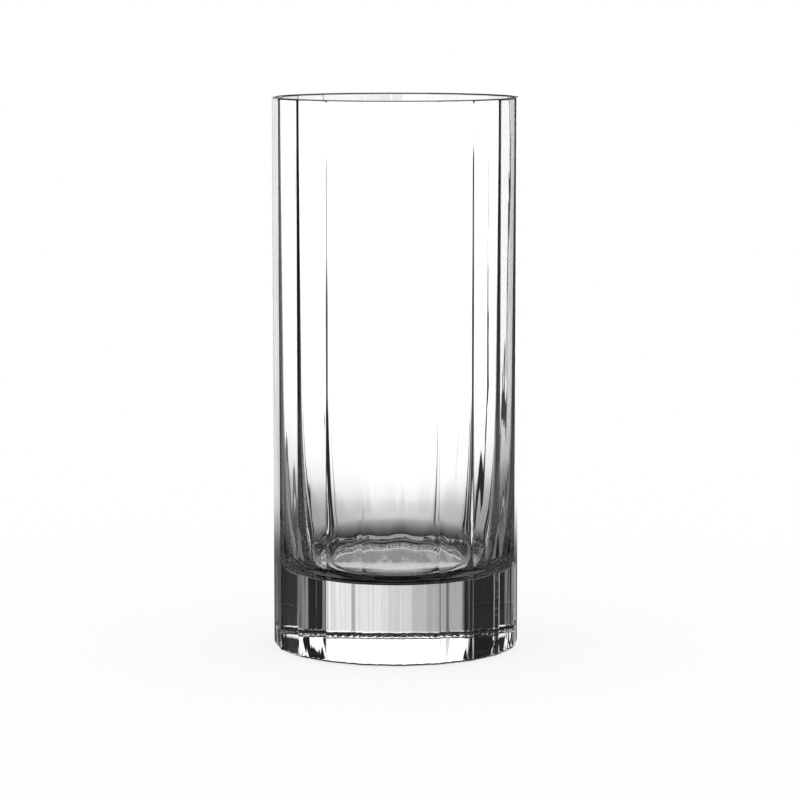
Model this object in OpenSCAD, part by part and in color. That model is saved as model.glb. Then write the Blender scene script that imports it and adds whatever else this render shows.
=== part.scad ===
// A tall straight drinking glass with a heavy solid base.
// It is one piece of clear pressed glass. Flat panels run up the outside, and
// near the rim the inside has them too: they fade downwards into a round
// cavity, whose wall grows thicker towards the floor.
// The origin is the middle of the foot, on the table, with +Z up and the
// front of the glass towards -Y.

/* [Body] */
// Height from the table to the top of the rim
body_h = 156.5; // [125:0.5:190]
// Width across two opposite corners of the panelled outside
body_d = 70; // [60:0.5:90]
// Flat panels round the glass
panel_n = 20; // [14:1:28]
// Turn of the first corner away from the front, in degrees
panel_turn = 2.4; // [0:0.1:18]
// How far each corner between two panels is eased back
corner_ease = 0.02; // [0.01:0.01:0.15]

/* [Rim] */
// Wall at the rim, in the middle of a panel
rim_wall = 1.4; // [1.2:0.05:2.5]
// How far the round of the cavity clears the inner corners at the rim
inner_fade = 0.4; // [0.1:0.05:1]

/* [Cavity] */
// Wall where the curve towards the floor begins, in the middle of a panel
low_wall = 2.2; // [1.8:0.1:4.5]
// Height above the table at which that curve begins
curve_h = 78; // [60:1:110]
// Radius of the long curve of the lower inner wall
curve_r = 260; // [200:5:500]
// Radius of the heel between the inner wall and the floor
heel_r = 7.5; // [5:0.5:12]

/* [Base] */
// Solid glass between the table and the cavity floor
base_h = 21.2; // [12:0.1:30]
// Radius of the rounded edge round the foot
foot_edge_r = 0.8; // [0.6:0.1:3]
// Width of the flat ring that the glass stands on
foot_ring_w = 6; // [5:0.5:12]
// Rise of the hollow under the base
punt_h = 0.9; // [0.5:0.1:2]

/* [Foot grip] */
// Fine radial notches pressed into the standing ring, round its inner edge
notch_n = 90; // [40:1:110]
// Distance of the notches from that edge
notch_in = 1; // [0.5:0.1:2]
// Length of one notch along the radius
notch_l = 2.4; // [1:0.1:2.8]
// Width of one notch
notch_w = 0.6; // [0.3:0.05:0.8]
// Depth of one notch
notch_deep = 0.2; // [0.1:0.05:0.4]

/* [Hidden] */

$fn = 96;
// What every cut runs past the surface that it opens
over = 2;

body_r = body_d / 2;
half_panel = 180 / panel_n;
// Outermost radius once the corners are eased
side_r = body_r - corner_ease;
// From the axis to the middle of a panel, outside and inside
out_reach = body_r * cos(half_panel);
in_reach = out_reach - rim_wall;
// Radius of the round cavity at the rim and where the long curve begins
rim_in_r = in_reach / cos(half_panel) + inner_fade;
low_in_r = out_reach - low_wall;

// The rim's rounding reaches just past the inner panels, so that it cuts them cleanly
rim_round_share = 0.51;
rim_round_r = (side_r - in_reach) * rim_round_share;
rim_mid_r = side_r - rim_round_r;
rim_mid_z = body_h - rim_round_r;

// Centre of the long curve, level with the height where it begins
curve_x = low_in_r - curve_r;
// Centre of the heel, resting on the floor and touching the long curve from inside
heel_z = base_h + heel_r;
heel_x = curve_x + sqrt(pow(curve_r - heel_r, 2) - pow(curve_h - heel_z, 2));
// Where the two curves meet
join_scale = curve_r / (curve_r - heel_r);
join_x = curve_x + (heel_x - curve_x) * join_scale;
join_z = curve_h + (heel_z - curve_h) * join_scale;

// Standing ring, inside the rounded edge
ring_out_r = side_r - foot_edge_r;
ring_in_r = ring_out_r - foot_ring_w;
// The hollow under the base is a shallow part of a large ball
punt_r = (pow(ring_in_r, 2) + pow(punt_h, 2)) / (2 * punt_h);

// Corner of a panelled outline
function corner(i, r) =
    let (a = panel_turn - 90 + 360 * i / panel_n)
    [r * cos(a), r * sin(a)];

// Prism with the panels as its sides, from below the foot to above the rim
module panel_prism(reach) {
    r = reach / cos(half_panel);
    translate([0, 0, -over])
        linear_extrude(height = body_h + 2 * over)
            polygon([for (i = [0 : panel_n - 1]) corner(i, r)]);
}

// Outside of the glass, as half a section with no cavity
module outer_section() {
    difference() {
        union() {
            square([side_r, rim_mid_z]);
            square([rim_mid_r, body_h]);
            translate([rim_mid_r, rim_mid_z])
                circle(r = rim_round_r);
        }
        translate([ring_out_r, 0])
            difference() {
                translate([0, -over])
                    square([foot_edge_r + over, foot_edge_r + over]);
                translate([0, foot_edge_r])
                    circle(r = foot_edge_r);
            }
        translate([0, punt_h - punt_r])
            circle(r = punt_r, $fn = 360);
    }
}

// Solid outside, with the panels cut flat
module outside() {
    intersection() {
        rotate_extrude()
            outer_section();
        panel_prism(out_reach);
    }
}

// Half section of the space inside, from the floor to above the rim
module cavity_section() {
    polygon([
        [0, curve_h],
        [low_in_r, curve_h],
        [rim_in_r, body_h],
        [rim_in_r, body_h + over],
        [0, body_h + over]
    ]);
    intersection() {
        translate([curve_x, curve_h])
            circle(r = curve_r, $fn = 720);
        polygon([
            [0, heel_z],
            [heel_x, heel_z],
            [join_x, join_z],
            [low_in_r + over, join_z],
            [low_in_r + over, curve_h],
            [0, curve_h]
        ]);
    }
    translate([heel_x, heel_z])
        circle(r = heel_r);
    translate([0, base_h])
        square([heel_x, heel_r]);
}

// Half section of what the rounding of the rim opens above the cavity
module mouth_section() {
    difference() {
        translate([0, rim_mid_z])
            square([rim_mid_r, rim_round_r + over]);
        translate([rim_mid_r, rim_mid_z])
            circle(r = rim_round_r);
    }
}

// The space inside: round, and held back by the inner panels near the rim
module cavity() {
    intersection() {
        rotate_extrude()
            cavity_section();
        panel_prism(in_reach);
    }
    rotate_extrude()
        mouth_section();
}

// Fine notches round the inner edge of the standing ring
module foot_notches() {
    for (i = [0 : notch_n - 1])
        rotate([0, 0, 360 * i / notch_n])
            translate([ring_in_r + notch_in, -notch_w / 2, -over])
                cube([notch_l, notch_w, over + notch_deep]);
}

module tumbler() {
    color([0.93, 0.95, 0.95, 0.35])
        difference() {
            outside();
            cavity();
            foot_notches();
        }
}

tumbler();
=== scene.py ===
import math
from types import SimpleNamespace

import bmesh
import bpy
from mathutils import Euler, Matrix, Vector


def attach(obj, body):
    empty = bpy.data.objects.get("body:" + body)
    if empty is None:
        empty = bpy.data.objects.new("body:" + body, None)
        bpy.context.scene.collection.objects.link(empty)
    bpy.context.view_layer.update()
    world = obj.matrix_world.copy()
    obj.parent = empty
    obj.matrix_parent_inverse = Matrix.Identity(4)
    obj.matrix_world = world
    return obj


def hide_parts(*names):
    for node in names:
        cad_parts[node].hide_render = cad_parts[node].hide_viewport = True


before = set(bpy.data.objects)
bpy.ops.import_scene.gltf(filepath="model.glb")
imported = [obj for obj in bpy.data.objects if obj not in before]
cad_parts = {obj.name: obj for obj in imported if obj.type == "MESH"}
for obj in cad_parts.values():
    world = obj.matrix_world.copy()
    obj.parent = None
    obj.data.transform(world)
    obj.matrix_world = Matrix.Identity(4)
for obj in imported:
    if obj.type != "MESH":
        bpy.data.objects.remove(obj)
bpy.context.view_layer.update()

# Outside of the glass, in metres
HEIGHT = 0.15649
PANELS = 20
CORNER_R = 0.035  # centre to a sharp corner between two panels
PANEL_TURN = math.radians(2.4)  # first corner, from the front towards +X
RIM_EDGE_R = 0.0006  # rounding of the rim's two edges
FOOT_EDGE_R = 0.0008  # rounded edge round the foot
HALF_PANEL = math.pi / PANELS
APOTHEM = CORNER_R * math.cos(HALF_PANEL)  # centre to the middle of a panel

# Cavity
RIM_IN_R = 0.03315  # inner wall at the rim
RIM_BAND_H = 0.012  # straight inner wall below the rim
LOW_IN_R = 0.03237  # inner wall where the long curve begins
CURVE_H = 0.078  # height at which it begins
CURVE_R = 0.26  # radius of the long curve
HEEL_R = 0.0075  # radius between wall and floor
BASE_H = 0.0212  # table to the floor of the cavity

# Underside
FOOT_RING_W = 0.006  # flat ring that the glass stands on
RING_IN_R = APOTHEM - FOOT_EDGE_R - FOOT_RING_W
RING_INNER_EDGE = 1.006  # last loop of the ring, as a share of its inner radius
JUST_INSIDE = 0.9965  # first loop of the ring, as a share of the foot's outline
PUNT_H = 0.0009  # rise of the hollow under the base
NOTCHES = 90
NOTCH_L = 0.0024
NOTCH_DEEP = 0.0002
NOTCH_END = 0.0002  # how far a notch takes to run out at each end
NOTCH_END_SHARE = 0.85  # its depth where that begins
NOTCH_POWER = 3  # the higher, the narrower each notch

# Sizes that change up the glass: (height, size), highest first
# Rounding of the corners between two panels, outside and inside
OUTER_ROUND = [
    (0.157, 0.0021), (0.135, 0.0020), (0.1, 0.0016),
    (0.06, 0.0016), (0.025, 0.0022), (0.0, 0.0026),
]
INNER_ROUND = [
    (0.157, 0.0006), (0.135, 0.0008), (0.10, 0.003), (0.06, 0.006),
    (0.04, 0.012), (0.028, 0.03), (0.02, 0.04),
]
# How far a panel's two sides lie behind its middle
CROWN = [(0.157, 0.0), (0.1, 0.00001), (0.045, 0.00006), (0.0, 0.00006)]

# Unevenness that pressing leaves: (waves round the glass, phase, size)
FOOT_BUMPS = [(53, 1.9, 0.00003), (83, 4.0, 0.00003), (127, 2.2, 0.00003), (151, 5.2, 0.00002)]
OUTER_WAVES = [(33, 1.1, 0.000007), (61, 3.9, 0.000005), (97, 0.4, 0.000003)]
LOW_WAVES = [(23, 0.9, 0.00003), (47, 2.7, 0.00002), (67, 5.1, 0.000013), (89, 3.3, 0.000006)]
SEAM_SWAYS = [(3, 1.0, 0.0006), (8, 0.0, 0.0003)]
# Long slanting waves in the inner wall: (waves round, turns up the glass, size, phase)
WALL_WAVES = [(7, 1.7, 0.000014, 0.6), (13, -1.6, 0.000007, 2.1), (31, 1.1, 0.000003, 4.4)]
BUMPS_H = 0.0009  # height at which the foot's bumps have faded out
BUMPS_LIFT = 1.2  # how much of a bump also lifts the foot's edge
ON_TABLE = 0.000001  # points below this height stay on the table
OUTER_WAVES_TOP = 0.3  # share of the outer waves that is left near the rim
OUTER_WAVES_FULL_H = 0.04
OUTER_WAVES_TOP_H = 0.13
LOW_WAVES_REACH = 0.014  # how fast the low waves fade above the cavity's floor
LOW_WAVES_FLOOR = 0.35  # share of them on the floor
LOW_WAVES_FULL = 0.006  # height above the floor at which they are whole
SEAM_Z = 0.0335  # a faint ring that the plunger leaves inside
SEAM_W = 0.0008
SEAM_SIZE = 0.000007
CALM_RIM = 0.02  # below the rim, the waves inside need this much to grow
CALM_MIDDLE = 0.02  # and this much from the middle of the floor

# How finely the skin is divided, and where its levels lie, as shares of the way
ARC_STEPS = 6
FLAT_STEPS = 18
FLAT_END = 0.97  # the points across a panel stop this far towards its corners
FLAT_SHARES = [FLAT_END * (2 * i / FLAT_STEPS - 1) for i in range(FLAT_STEPS + 1)]
LEAST_FLAT = 0.00001  # what a rounding leaves of a panel at least
FOOT_STEPS = 12
RIM_STEPS = 8
TAPER_STEPS = 16
CURVE_STEPS = 60
HEEL_STEPS = 32
WALL_SHARES = [
    0.002, 0.01, 0.03, 0.06, 0.09, 0.12, 0.15, 0.18, 0.22,
    0.26, 0.3, 0.37, 0.45, 0.6, 0.75, 0.9, 0.97, 0.997,
]
BAND_SHARES = [0.05, 0.3, 0.6]
FLOOR_SHARES = [0.97, 0.9, 0.75, 0.6, 0.45, 0.3, 0.15]
PUNT_SHARES = [1.0, 0.995, 0.97, 0.9, 0.8, 0.65, 0.5, 0.35, 0.2, 0.1]

# Glass
GLASS_IOR = 1.52
MIRROR_TINT = (0.3, 0.3, 0.3, 1.0)
CLOUD_COLOURS = [(0.985, 0.995, 0.992, 1.0), (1.0, 1.0, 0.998, 1.0)]
CLOUD_SCALE = 60.0
CLOUD_DETAIL = 3.0
SKIN_SCALE = 420.0
SKIN_DETAIL = 2.0
SKIN_STRENGTH = 0.05
SKIN_HEIGHT = 0.0001
DRAWN_OUT = (1.0, 1.0, 0.12)  # stretches both patterns along the glass

# Bright windows of the studio, four round the glass. Angles in degrees, light as a share of white
BETWEEN = 45.0  # from a window's middle to the middle between two windows
WINDOW_SOFT = 0.16
DARK_SIDE = 0.015
FOOT_HALF = 10.0  # half a window's width well below level
WIDENINGS = [  # elevations from, to, and how much wider each half is above them
    (-13.0, -8.0, 3.0), (-6.6, -5.4, 4.0), (-4.2, -3.1, 6.0), (5.0, 9.0, 14.0),
]
WINDOW_LIGHT = [  # (elevation, light)
    (-90, 0.02), (-50, 0.03), (-37, 0.13), (-28, 0.27), (-22, 0.42),
    (-20, 0.56), (-19, 0.72), (-18, 0.92), (-17, 1.0), (-14, 1.15),
    (-8.5, 1.3), (12.5, 1.3), (15, 0.35), (18, 0.08), (90, 0.02),
]

# Levels of light of the studio's strips, which are seen through the solid base
FLAG = 0.02
DIM = 0.13
GREY = 0.22
SOFT = 0.38
PANEL = 0.65
BRIGHT = 0.75
LAMP = 0.95
# Strips right and left of each window's middle: from, to and level
RIGHT_STRIPS = [
    (-45.0, -29.0, FLAG), (-28.5, -27.5, GREY), (-27.0, -25.0, FLAG), (-24.0, -22.5, DIM),
    (-22.0, -21.0, FLAG), (-20.3, -19.0, SOFT), (-18.3, -16.5, DIM), (-15.7, -15.3, SOFT),
    (-14.5, -13.5, GREY), (-12.0, -10.0, SOFT), (-7.5, 0.0, PANEL),
]
LEFT_STRIPS = [
    (0.0, 3.0, PANEL), (8.0, 17.5, BRIGHT), (18.0, 18.2, SOFT), (18.6, 21.0, BRIGHT),
    (21.4, 23.5, FLAG), (24.0, 27.0, LAMP), (27.5, 30.5, FLAG), (31.0, 31.6, GREY),
    (32.0, 33.5, FLAG), (34.0, 35.0, GREY), (36.0, 45.0, FLAG),
]
# Fine streaks across the strips
STREAK_SCALE = 1.3
STREAK_DETAIL = 3.0
STREAK_ROUGHNESS = 0.7

# Lights that lie between the windows
CORNER_LIGHT = 1.15
LEVEL_CORNER_HALF = 9.0
STEEP_HALF = 16.0
STEEP_LIGHT = 0.35  # for rays that crossed more than one wall or met a mirror

# What parts one kind of ray from another, halfway between whole numbers
TWO_SURFACES = 2.5  # a ray that crossed fewer went into the glass and out of it only once
ONE_MIRROR = 1.5

# How a value changes: (from, to, value before, value after), by elevation unless a line says otherwise
# Strips
STREAKS = (0.3, 0.7, 0.86, 1.1)  # by noise
STRIPS_LEVEL = (-9.9, -9.2, 1.07, 1.5)
STRIPS_LOW = (-20.0, -12.0, 0.05, 1.0)
STRIPS_HIGH = (26.0, 31.0, 1.0, 0.03)
STRIPS_TURN_UP = (1.0, 4.0, 0.0, 1.0)  # where their harder copy takes over
STRIPS_HARDER = (0.05, 0.2, 0.012, 1.25)  # that copy, by the strips' own light
STRAIGHT_UP = (0.0, 5.0, 0.0, 1.0)
STRAIGHT_UP_LIGHT = (0.0, 1.0, 1.0, 0.03)  # by how far a ray is one that goes straight up
# Light between the windows, for rays through two walls and for thick rays
CORNER_HALF_WALLS = (-14.0, -10.0, 17.0, 13.0)
CORNER_HALF_THICK = (-14.5, -12.5, 17.0, 3.2)
CORNER_FADE_WALLS = (-10.3, -9.0, 1.0, 0.0)
CORNER_FADE_THICK = (-9.6, -9.0, 1.0, 0.0)
CORNER_DIM_THICK = (-14.5, -12.5, 1.0, 0.55)
CORNER_DEEP = (-60.0, -42.0, 0.1, 1.0)
CORNER_HIGH = (14.0, 18.0, 0.0, 1.0)
LEVEL_CORNER_FROM = (-9.2, -8.6, 0.0, 1.0)
LEVEL_CORNER_TO = (7.0, 10.0, 1.0, 0.0)
STEEP_FROM = (-74.0, -72.0, 0.0, 1.0)
STEEP_TO = (-54.0, -52.0, 1.0, 0.0)
# Mirrors inside the glass, and strips that its outside mirrors
INSIDE_MIRROR = 0.15  # light that is left after a mirror inside
BELOW_LEVEL = (-1.0, 1.0, 1.0, 0.0)
MIRROR_LOW = (-9.9, -8.6, 0.1, 1.0)
MIRROR_HIGH = (3.0, 12.0, 1.0, 0.15)
MIRROR_STRIP_FROM = (6.0, 9.5, 0.0, 1.0)  # by angle off a window's middle
MIRROR_STRIP_TO = (32.0, 37.0, 1.0, 0.0)  # by the same angle
MIRROR_STRIP_LIGHT = (0.0, 1.0, 0.25, 1.6)  # by how far a direction is in such a strip

# Floor
FLOOR_HALF = 4.0
FLOOR_Z = -0.0002
FLOOR_GLOW = 0.75  # share of plain white that the camera sees in it, the rest takes the shadow
PAINTED_SHADOW_MIDDLE = (0.004, 0.013, 1.0, 0.55)  # painted shadow under the glass: light of the floor seen through it, by distance from its middle
PAINTED_SHADOW_EDGE = (0.0340, 0.0348, 1.0, 0.0)  # share of that painted shadow, by the same distance

# Camera, from the photograph's perspective
CAMERA_AWAY = 0.947
CAMERA_UP = 0.1887
CAMERA_ASIDE = 0.00119
CAMERA_TILT = math.radians(7.13)
CAMERA_LENS = 150.6
SENSOR = 36.0

# How often light may turn in the glass
BOUNCES = 32
MIRROR_BOUNCES = 24


def clamp(value):
    return min(1.0, max(0.0, value))


def ease(value, start, end):
    """0 at start, 1 at end and straight in between."""
    return clamp((value - start) / (end - start))


def by_height(table, z):
    """Size at height z, straight between the rows of a table."""
    last = table[0]
    for point in table:
        if z > point[0]:
            share = (z - point[0]) / (last[0] - point[0]) if last[0] > point[0] else 0
            return point[1] + (last[1] - point[1]) * share
        last = point
    return last[1]


def ripples(angle, waves):
    """Sum of waves round the glass."""
    return sum(size * math.sin(around * angle + phase) for around, phase, size in waves)


def raised_ripples(angle, waves):
    """The same waves, raised so that none of them falls below 0."""
    return ripples(angle, waves) + sum(size for around, phase, size in waves)


def outer_draw_in(angle, z):
    """How far the outside lies inside its flat panels."""
    share = ease(z, OUTER_WAVES_TOP_H, OUTER_WAVES_FULL_H)
    share = OUTER_WAVES_TOP + (1 - OUTER_WAVES_TOP) * share
    return share * raised_ripples(angle, OUTER_WAVES)


def inner_push_out(angle, z):
    """How far pressing waves push the inner wall out."""
    seam_z = SEAM_Z + ripples(angle, SEAM_SWAYS)
    seam = SEAM_SIZE * math.exp(-((z - seam_z) / SEAM_W) ** 2)
    above = max(0.0, z - BASE_H)
    low_share = LOW_WAVES_FLOOR + (1 - LOW_WAVES_FLOOR) * ease(above, 0.0, LOW_WAVES_FULL)
    low = low_share * math.exp(-above / LOW_WAVES_REACH) * ripples(angle, LOW_WAVES)
    slanting = 0.0
    for around, turns, size, phase in WALL_WAVES:
        slant = turns * 2 * math.pi * z / HEIGHT
        slanting += size * math.sin(around * angle + slant + phase)
    return seam + low + slanting


def direction(angle):
    return Vector((math.cos(angle), math.sin(angle)))


def outline(reach, soft, crown=0.0):
    """Points round one level of the panelled shape, with soft corners and crowned panels.

    reach is the distance from the centre to the middle of a panel.
    """
    half_flat = (reach - soft) * math.tan(HALF_PANEL)
    half_arc = HALF_PANEL - 2 * crown / half_flat
    points = []
    for k in range(PANELS):
        corner = PANEL_TURN - math.pi / 2 + 2 * HALF_PANEL * k
        middle = direction(corner) * (reach - crown - soft) / math.cos(HALF_PANEL)
        for step in range(ARC_STEPS + 1):
            angle = corner + half_arc * (2 * step / ARC_STEPS - 1)
            points.append(middle + direction(angle) * soft)
        normal = direction(corner + HALF_PANEL)
        along = Vector((-normal.y, normal.x))
        for share in FLAT_SHARES:
            points.append(normal * (reach - crown * share * share) + along * half_flat * share)
    return points


def arc(centre, radius, start, end, steps):
    """Points (radius, height) along an arc, angles in degrees from the outward direction."""
    found = []
    for i in range(steps + 1):
        angle = math.radians(start + (end - start) * i / steps)
        across = centre[0] + radius * math.cos(angle)
        found.append((across, centre[1] + radius * math.sin(angle)))
    return found


def outer_levels():
    """(inset, height) up the outside, from the standing ring to the top of the rim."""
    levels = []
    for across, z in arc((0, FOOT_EDGE_R), FOOT_EDGE_R, -90, 0, FOOT_STEPS):
        levels.append((FOOT_EDGE_R - across, z))
    wall_h = HEIGHT - RIM_EDGE_R - FOOT_EDGE_R
    for share in WALL_SHARES:
        levels.append((0.0, FOOT_EDGE_R + wall_h * share))
    for across, z in arc((0, HEIGHT - RIM_EDGE_R), RIM_EDGE_R, 0, 90, RIM_STEPS):
        levels.append((RIM_EDGE_R - across, z))
    return levels


def inner_profile():
    """(reach, height) down the inside, from the top of the rim to near the middle of the floor."""
    rim_z = HEIGHT - RIM_EDGE_R
    points = arc((RIM_IN_R + RIM_EDGE_R, rim_z), RIM_EDGE_R, 90, 180, RIM_STEPS)
    points += [(RIM_IN_R, rim_z - RIM_BAND_H * share) for share in BAND_SHARES]
    band_z = HEIGHT - RIM_BAND_H
    for i in range(TAPER_STEPS + 1):
        share = i / TAPER_STEPS
        reach = RIM_IN_R + (LOW_IN_R - RIM_IN_R) * share
        points.append((reach, band_z + (CURVE_H - band_z) * share))
    curve_x = LOW_IN_R - CURVE_R
    heel_z = BASE_H + HEEL_R
    turn = math.asin((CURVE_H - heel_z) / (CURVE_R - HEEL_R))
    heel_x = curve_x + (CURVE_R - HEEL_R) * math.cos(turn)
    turn = math.degrees(turn)
    points += arc((curve_x, CURVE_H), CURVE_R, 0, -turn, CURVE_STEPS)[1:]
    points += arc((heel_x, heel_z), HEEL_R, -turn, -90, HEEL_STEPS)[1:]
    points += [(heel_x * share, BASE_H) for share in FLOOR_SHARES]
    return points


def vertex(work, angle, radius, z):
    return work.verts.new((radius * math.cos(angle), radius * math.sin(angle), z))


def outer_loop(work, inset, z):
    """One loop of points round the outside, with its bumps and waves."""
    loop = []
    low = ease(z, BUMPS_H, 0.0)
    for p in outline(APOTHEM - inset, by_height(OUTER_ROUND, z), by_height(CROWN, z)):
        angle = math.atan2(p.y, p.x)
        bump = low * raised_ripples(angle, FOOT_BUMPS)
        share = 1 - (bump + outer_draw_in(angle, z)) / p.length
        lift = BUMPS_LIFT * bump if z > ON_TABLE else 0
        loop.append(work.verts.new((p.x * share, p.y * share, z + lift)))
    return loop


def inner_loop(work, reach, z):
    """One loop of points round the inside, with its waves."""
    loop = []
    calm = ease(z, HEIGHT, HEIGHT - CALM_RIM) * ease(reach, 0.0, CALM_MIDDLE)
    soft = min(reach - LEAST_FLAT, by_height(INNER_ROUND, z))
    for p in outline(reach, soft):
        angle = math.atan2(p.y, p.x)
        radius = p.length + calm * inner_push_out(angle, z)
        loop.append(vertex(work, angle, radius, z))
    return loop


def notch_levels():
    """(radius, share of a notch's depth) inwards across the standing ring."""
    middle = RING_IN_R + FOOT_RING_W / 2
    half = NOTCH_L / 2
    return [
        (middle + half + NOTCH_END, 0.0),
        (middle + half, NOTCH_END_SHARE),
        (middle + half / 2, 1.0),
        (middle, 1.0),
        (middle - half / 2, 1.0),
        (middle - half, NOTCH_END_SHARE),
        (middle - half - NOTCH_END, 0.0),
        (RING_IN_R * RING_INNER_EDGE, 0.0),
    ]


def under_loops(work, foot):
    """Loops of the underside, inwards from the foot's outline."""
    angles = [math.atan2(v.co.y, v.co.x) for v in foot]
    loops = [[work.verts.new((v.co.x * JUST_INSIDE, v.co.y * JUST_INSIDE, 0)) for v in foot]]
    for radius, deep in notch_levels():
        loop = []
        for angle in angles:
            notch = max(0.0, math.cos(NOTCHES * angle)) ** NOTCH_POWER
            loop.append(vertex(work, angle, radius, NOTCH_DEEP * deep * notch))
        loops.append(loop)
    for share in PUNT_SHARES:
        z = PUNT_H * (1 - share * share)
        loops.append([vertex(work, angle, RING_IN_R * share, z) for angle in angles])
    return loops


def join_loops(work, low, high):
    for i in range(len(low)):
        j = (i + 1) % len(low)
        work.faces.new((low[i], low[j], high[j], high[i]))


def close_loop(work, loop, middle):
    for i in range(len(loop)):
        work.faces.new((loop[i], loop[(i + 1) % len(loop)], middle))


def build_glass():
    """The whole glass as one closed skin."""
    work = bmesh.new()
    rings = [outer_loop(work, inset, z) for inset, z in outer_levels()]
    rings += [inner_loop(work, reach, z) for reach, z in inner_profile()]
    floor_middle = work.verts.new((0, 0, BASE_H))
    under = under_loops(work, rings[0])
    under_middle = work.verts.new((0, 0, PUNT_H))
    for low, high in zip(rings, rings[1:]):
        join_loops(work, low, high)
    close_loop(work, rings[-1], floor_middle)
    for high, low in zip([rings[0]] + under, under):
        join_loops(work, low, high)
    close_loop(work, under[-1][::-1], under_middle)
    for face in work.faces:
        face.smooth = True
    mesh = bpy.data.meshes.new("glass_body")
    work.to_mesh(mesh)
    work.free()
    obj = bpy.data.objects.new("glass_body", mesh)
    bpy.context.scene.collection.objects.link(obj)
    return obj


def add(tree, kind, **props):
    node = tree.nodes.new(kind)
    for key, value in props.items():
        setattr(node, key, value)
    return node


def math_node(tree, operation, a, b=None, c=None):
    node = add(tree, "ShaderNodeMath", operation=operation)
    for socket, value in zip(node.inputs, (a, b, c)):
        if isinstance(value, (int, float)):
            socket.default_value = value
        elif value is not None:
            tree.links.new(value, socket)
    return node.outputs[0]


def times(tree, first, *others):
    """Product of several values."""
    for other in others:
        first = math_node(tree, "MULTIPLY", first, other)
    return first


def ramp(tree, value, low, high, to_low, to_high, smooth=True):
    """Value carried over from low..high to to_low..to_high."""
    node = add(tree, "ShaderNodeMapRange", clamp=True)
    node.interpolation_type = "SMOOTHSTEP" if smooth else "LINEAR"
    tree.links.new(value, node.inputs["Value"])
    node.inputs["From Min"].default_value = low
    node.inputs["From Max"].default_value = high
    node.inputs["To Min"].default_value = to_low
    node.inputs["To Max"].default_value = to_high
    return node.outputs["Result"]


def mix_values(tree, share, first, second):
    """First where share is 0, second where it is 1."""
    node = add(tree, "ShaderNodeMix", data_type="FLOAT")
    tree.links.new(share, node.inputs[0])
    tree.links.new(first, node.inputs[2])
    tree.links.new(second, node.inputs[3])
    return node.outputs[0]


def mix_shaders(tree, share, first, second):
    """First where share is 0, second where it is 1."""
    node = add(tree, "ShaderNodeMixShader")
    for socket, value in zip(node.inputs, (share, first, second)):
        tree.links.new(value, socket)
    return node.outputs[0]


def by_degrees(tree, degrees, points):
    """Light read off a row of (degrees, light)."""
    first, last = points[0][0], points[-1][0]
    node = add(tree, "ShaderNodeValToRGB")
    stops = node.color_ramp.elements
    while len(stops) > 1:
        stops.remove(stops[-1])
    for i, (angle, light) in enumerate(points):
        place = (angle - first) / (last - first)
        stop = stops[0] if i == 0 else stops.new(place)
        stop.position = place
        stop.color = (light, light, light, 1)
    tree.links.new(ramp(tree, degrees, first, last, 0.0, 1.0, smooth=False), node.inputs[0])
    return node.outputs[0]


def by_strips(tree, degrees, strips):
    """Light of a row of strips, with soft joins between them."""
    points = []
    for start, end, light in strips:
        points += [(start, light), (end, light)]
    return by_degrees(tree, degrees, points)


def window(tree, around, half):
    """1 within half of a window's middle, DARK_SIDE between the windows."""
    off = math_node(tree, "PINGPONG", around, BETWEEN)
    share = math_node(tree, "DIVIDE", off, half)
    return ramp(tree, share, 1 - WINDOW_SOFT, 1 + WINDOW_SOFT, 1.0, DARK_SIDE)


def seen_by_glass(tree, path):
    """1 for a ray that left the glass or was mirrored by it."""
    return math_node(tree, "MAXIMUM", path.outputs["Is Glossy Ray"], path.outputs["Is Transmission Ray"])


def follow_ray(tree):
    """Where a ray goes, in degrees, and what the glass has done with it."""
    coords = add(tree, "ShaderNodeTexCoord")
    split = add(tree, "ShaderNodeSeparateXYZ")
    tree.links.new(coords.outputs["Generated"], split.inputs[0])
    x, y, z = split.outputs
    path = add(tree, "ShaderNodeLightPath")
    around = times(tree, math_node(tree, "ARCTAN2", x, y), 180 / math.pi)
    outside = math_node(tree, "SUBTRACT", path.outputs["Is Glossy Ray"], path.outputs["Is Transmission Ray"])
    return SimpleNamespace(
        elevation=times(tree, math_node(tree, "ARCSINE", z), 180 / math.pi),
        around=around,
        between=math_node(tree, "ADD", around, BETWEEN),
        glassy=seen_by_glass(tree, path),
        # off the outside of the glass, without having been in it
        outside_mirror=math_node(tree, "MAXIMUM", outside, 0.0),
        # through the solid base, or through one wall only
        thick=math_node(tree, "LESS_THAN", path.outputs["Transmission Depth"], TWO_SURFACES),
        mirrored=math_node(tree, "MINIMUM", path.outputs["Glossy Depth"], 1.0),
        mirrored_twice=math_node(tree, "GREATER_THAN", path.outputs["Glossy Depth"], ONE_MIRROR),
    )


def wall_light(tree, ray):
    """Bright windows seen through the walls, wider higher up."""
    half = FOOT_HALF
    for low, high, more in WIDENINGS:
        half = math_node(tree, "ADD", ramp(tree, ray.elevation, low, high, 0.0, more), half)
    return times(tree, window(tree, ray.around, half), by_degrees(tree, ray.elevation, WINDOW_LIGHT))


def strip_light(tree, ray):
    """The row of strips, with fine streaks."""
    aside = math_node(tree, "WRAP", ray.around, BETWEEN, -BETWEEN)
    left_side = math_node(tree, "GREATER_THAN", aside, 0.0)
    right = by_strips(tree, aside, RIGHT_STRIPS)
    left = by_strips(tree, aside, LEFT_STRIPS)
    grain = add(tree, "ShaderNodeTexNoise", noise_dimensions="1D")
    grain.inputs["Scale"].default_value = STREAK_SCALE
    grain.inputs["Detail"].default_value = STREAK_DETAIL
    grain.inputs["Roughness"].default_value = STREAK_ROUGHNESS
    tree.links.new(aside, grain.inputs["W"])
    streaks = ramp(tree, grain.outputs[0], *STREAKS)
    return times(tree, mix_values(tree, left_side, right, left), streaks)


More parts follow.
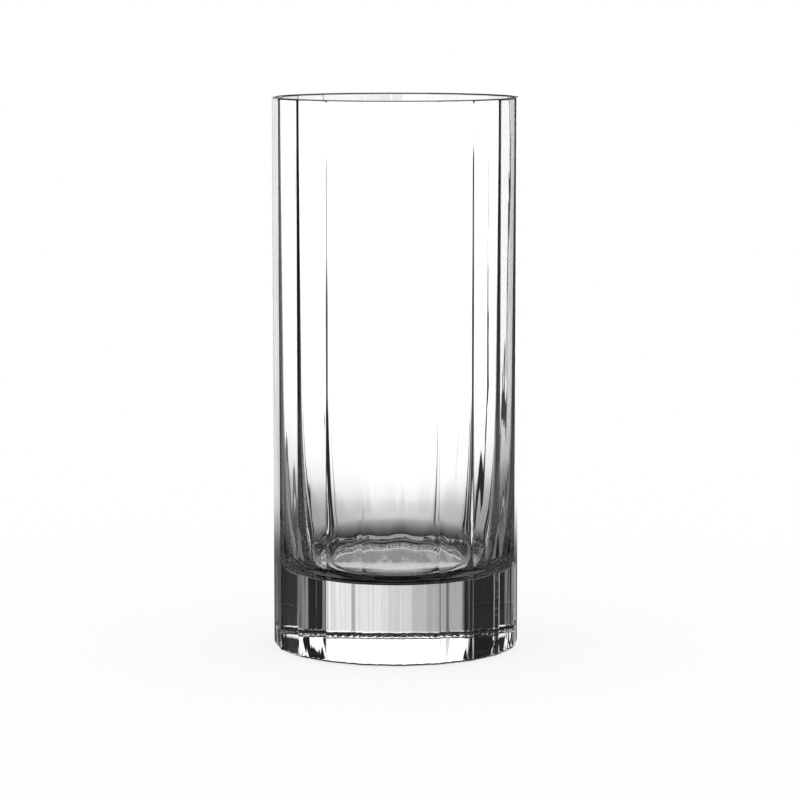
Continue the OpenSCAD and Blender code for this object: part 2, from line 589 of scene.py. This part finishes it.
def base_light(tree, ray):
    """What is seen through the solid base."""
    strips = strip_light(tree, ray)
    level = times(tree, strips, ramp(tree, ray.elevation, *STRIPS_LEVEL))
    harder = ramp(tree, strips, *STRIPS_HARDER, smooth=False)
    light = mix_values(tree, ramp(tree, ray.elevation, *STRIPS_TURN_UP), level, harder)
    unmirrored = math_node(tree, "SUBTRACT", 1.0, ray.mirrored)
    straight_up = times(tree, unmirrored, ramp(tree, ray.elevation, *STRAIGHT_UP))
    return times(
        tree,
        light,
        ramp(tree, ray.elevation, *STRIPS_HIGH),
        ramp(tree, straight_up, *STRAIGHT_UP_LIGHT, smooth=False),
        ramp(tree, ray.elevation, *STRIPS_LOW),
    )


def corner_light(tree, ray):
    """Light between the windows, for directions well above or below level."""
    walls_half = ramp(tree, ray.elevation, *CORNER_HALF_WALLS)
    thick_half = ramp(tree, ray.elevation, *CORNER_HALF_THICK)
    corner = window(tree, ray.between, mix_values(tree, ray.thick, walls_half, thick_half))
    walls_level = ramp(tree, ray.elevation, *CORNER_FADE_WALLS)
    thick_level = ramp(tree, ray.elevation, *CORNER_FADE_THICK)
    thick_level = times(tree, thick_level, ramp(tree, ray.elevation, *CORNER_DIM_THICK))
    down = mix_values(tree, ray.thick, walls_level, thick_level)
    down = times(tree, down, ramp(tree, ray.elevation, *CORNER_DEEP))
    up = ramp(tree, ray.elevation, *CORNER_HIGH)
    return times(tree, corner, math_node(tree, "ADD", down, up), CORNER_LIGHT)


def level_corner_light(tree, ray):
    """Narrower light between the windows, for level directions."""
    return times(
        tree,
        window(tree, ray.between, LEVEL_CORNER_HALF),
        ramp(tree, ray.elevation, *LEVEL_CORNER_FROM),
        ramp(tree, ray.elevation, *LEVEL_CORNER_TO),
    )


def steep_light(tree, ray):
    """Light for rays that go steeply down, as in a view from above."""
    direct = times(tree, ray.thick, math_node(tree, "SUBTRACT", 1.0, ray.mirrored))
    both = math_node(
        tree,
        "MAXIMUM",
        window(tree, ray.around, STEEP_HALF),
        window(tree, ray.between, STEEP_HALF),
    )
    return times(
        tree,
        both,
        ramp(tree, direct, 0.0, 1.0, STEEP_LIGHT, 1.0, smooth=False),
        ramp(tree, ray.elevation, *STEEP_FROM),
        ramp(tree, ray.elevation, *STEEP_TO),
    )


def inside_mirrors(tree, ray):
    """Share of light left after the mirrors inside the glass."""
    once = times(tree, ray.mirrored, ramp(tree, ray.elevation, *BELOW_LEVEL))
    return times(
        tree,
        ramp(tree, once, 0.0, 1.0, 1.0, INSIDE_MIRROR, smooth=False),
        ramp(tree, ray.mirrored_twice, 0.0, 1.0, 1.0, INSIDE_MIRROR, smooth=False),
    )


def outside_mirror_light(tree, ray):
    """Strips at both sides that the outside of the glass mirrors."""
    off = math_node(tree, "PINGPONG", ray.around, BETWEEN)
    strip = times(tree, ramp(tree, off, *MIRROR_STRIP_FROM), ramp(tree, off, *MIRROR_STRIP_TO))
    return times(
        tree,
        ramp(tree, strip, *MIRROR_STRIP_LIGHT),
        ramp(tree, ray.elevation, *MIRROR_LOW),
        ramp(tree, ray.elevation, *MIRROR_HIGH),
    )


def make_world():
    """Even white for the camera and the floor, and the studio for rays off or out of the glass."""
    world = bpy.data.worlds.new("studio")
    bpy.context.scene.world = world
    world.use_nodes = True
    tree = world.node_tree
    tree.nodes.clear()
    ray = follow_ray(tree)
    light = mix_values(tree, ray.thick, wall_light(tree, ray), base_light(tree, ray))
    for more in (corner_light(tree, ray), level_corner_light(tree, ray), steep_light(tree, ray)):
        light = math_node(tree, "MAXIMUM", light, more)
    light = times(tree, light, inside_mirrors(tree, ray))
    light = mix_values(tree, ray.outside_mirror, light, outside_mirror_light(tree, ray))
    even = add(tree, "ShaderNodeBackground")
    even.inputs["Color"].default_value = (1, 1, 1, 1)
    even.inputs["Strength"].default_value = 1.0
    studio = add(tree, "ShaderNodeBackground")
    studio.inputs["Color"].default_value = (1, 1, 1, 1)
    tree.links.new(light, studio.inputs["Strength"])
    out = add(tree, "ShaderNodeOutputWorld")
    seen = mix_shaders(tree, ray.glassy, even.outputs[0], studio.outputs[0])
    tree.links.new(seen, out.inputs["Surface"])


def noise(tree, vector, scale, detail):
    node = add(tree, "ShaderNodeTexNoise")
    node.inputs["Scale"].default_value = scale
    node.inputs["Detail"].default_value = detail
    tree.links.new(vector, node.inputs["Vector"])
    return node.outputs[0]


def glass_material():
    """Clear glass with a faint change of tint and a fine skin, both drawn out along it."""
    material = bpy.data.materials.new("clear_pressed_glass")
    material.use_nodes = True
    tree = material.node_tree
    tree.nodes.clear()
    shader = add(tree, "ShaderNodeBsdfPrincipled")
    place = add(tree, "ShaderNodeTexCoord")
    drawn = add(tree, "ShaderNodeMapping")
    drawn.inputs["Scale"].default_value = DRAWN_OUT
    tree.links.new(place.outputs["Object"], drawn.inputs["Vector"])
    tint = add(tree, "ShaderNodeMix", data_type="RGBA")
    tint.inputs[6].default_value = CLOUD_COLOURS[0]
    tint.inputs[7].default_value = CLOUD_COLOURS[1]
    tree.links.new(noise(tree, drawn.outputs[0], CLOUD_SCALE, CLOUD_DETAIL), tint.inputs[0])
    tree.links.new(tint.outputs[2], shader.inputs["Base Color"])
    skin = add(tree, "ShaderNodeBump")
    skin.inputs["Strength"].default_value = SKIN_STRENGTH
    skin.inputs["Distance"].default_value = SKIN_HEIGHT
    tree.links.new(noise(tree, drawn.outputs[0], SKIN_SCALE, SKIN_DETAIL), skin.inputs["Height"])
    tree.links.new(skin.outputs[0], shader.inputs["Normal"])
    shader.inputs["Roughness"].default_value = 0.0
    shader.inputs["IOR"].default_value = GLASS_IOR
    shader.inputs["Transmission Weight"].default_value = 1.0
    shader.inputs["Specular Tint"].default_value = MIRROR_TINT
    out = add(tree, "ShaderNodeOutputMaterial")
    tree.links.new(shader.outputs[0], out.inputs["Surface"])
    return material


def studio_side(tree, away):
    """Floor for rays out of the glass: clear, and dimmer under the glass, a painted shadow of the glass."""
    clear = add(tree, "ShaderNodeBsdfTransparent")
    under = add(tree, "ShaderNodeBsdfTransparent")
    # painted shadow: what the glass sees of the floor under its foot is dimmed
    tree.links.new(ramp(tree, away, *PAINTED_SHADOW_MIDDLE), under.inputs["Color"])
    return mix_shaders(tree, ramp(tree, away, *PAINTED_SHADOW_EDGE), clear.outputs[0], under.outputs[0])


def pale_side(tree, path):
    """Floor for the camera: white, and it takes the shadow of the glass."""
    diffuse = add(tree, "ShaderNodeBsdfDiffuse")
    diffuse.inputs["Color"].default_value = (1, 1, 1, 1)
    white = add(tree, "ShaderNodeEmission")
    white.inputs["Strength"].default_value = 1.0
    glow = times(tree, path.outputs["Is Camera Ray"], FLOOR_GLOW)
    return mix_shaders(tree, glow, diffuse.outputs[0], white.outputs[0])


def floor_material():
    material = bpy.data.materials.new("pale_floor")
    material.use_nodes = True
    tree = material.node_tree
    tree.nodes.clear()
    place = add(tree, "ShaderNodeNewGeometry")
    split = add(tree, "ShaderNodeSeparateXYZ")
    tree.links.new(place.outputs["Position"], split.inputs[0])
    x, y = split.outputs[:2]
    squares = math_node(tree, "ADD", times(tree, x, x), times(tree, y, y))
    away = math_node(tree, "SQRT", squares)
    path = add(tree, "ShaderNodeLightPath")
    out = add(tree, "ShaderNodeOutputMaterial")
    seen = mix_shaders(tree, seen_by_glass(tree, path), pale_side(tree, path), studio_side(tree, away))
    tree.links.new(seen, out.inputs["Surface"])
    return material


def make_floor():
    side = FLOOR_HALF
    mesh = bpy.data.meshes.new("floor")
    corners = [(-side, -side, 0), (side, -side, 0), (side, side, 0), (-side, side, 0)]
    mesh.from_pydata(corners, [], [(0, 1, 2, 3)])
    obj = bpy.data.objects.new("floor", mesh)
    obj.location.z = FLOOR_Z
    bpy.context.scene.collection.objects.link(obj)
    obj.data.materials.append(floor_material())


def make_camera():
    data = bpy.data.cameras.new("camera")
    data.lens = CAMERA_LENS
    data.sensor_width = SENSOR
    camera = bpy.data.objects.new("camera", data)
    camera.location = (CAMERA_ASIDE, -CAMERA_AWAY, CAMERA_UP)
    camera.rotation_euler = Euler((math.pi / 2 - CAMERA_TILT, 0, 0))
    bpy.context.scene.collection.objects.link(camera)
    bpy.context.scene.camera = camera


scene = bpy.context.scene
scene.view_settings.view_transform = "Standard"
scene.cycles.max_bounces = BOUNCES
scene.cycles.transmission_bounces = BOUNCES
scene.cycles.glossy_bounces = MIRROR_BOUNCES
make_camera()
make_world()
make_floor()
glass = build_glass()
glass.data.materials.append(glass_material())
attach(glass, "root")
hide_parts("tumbler")
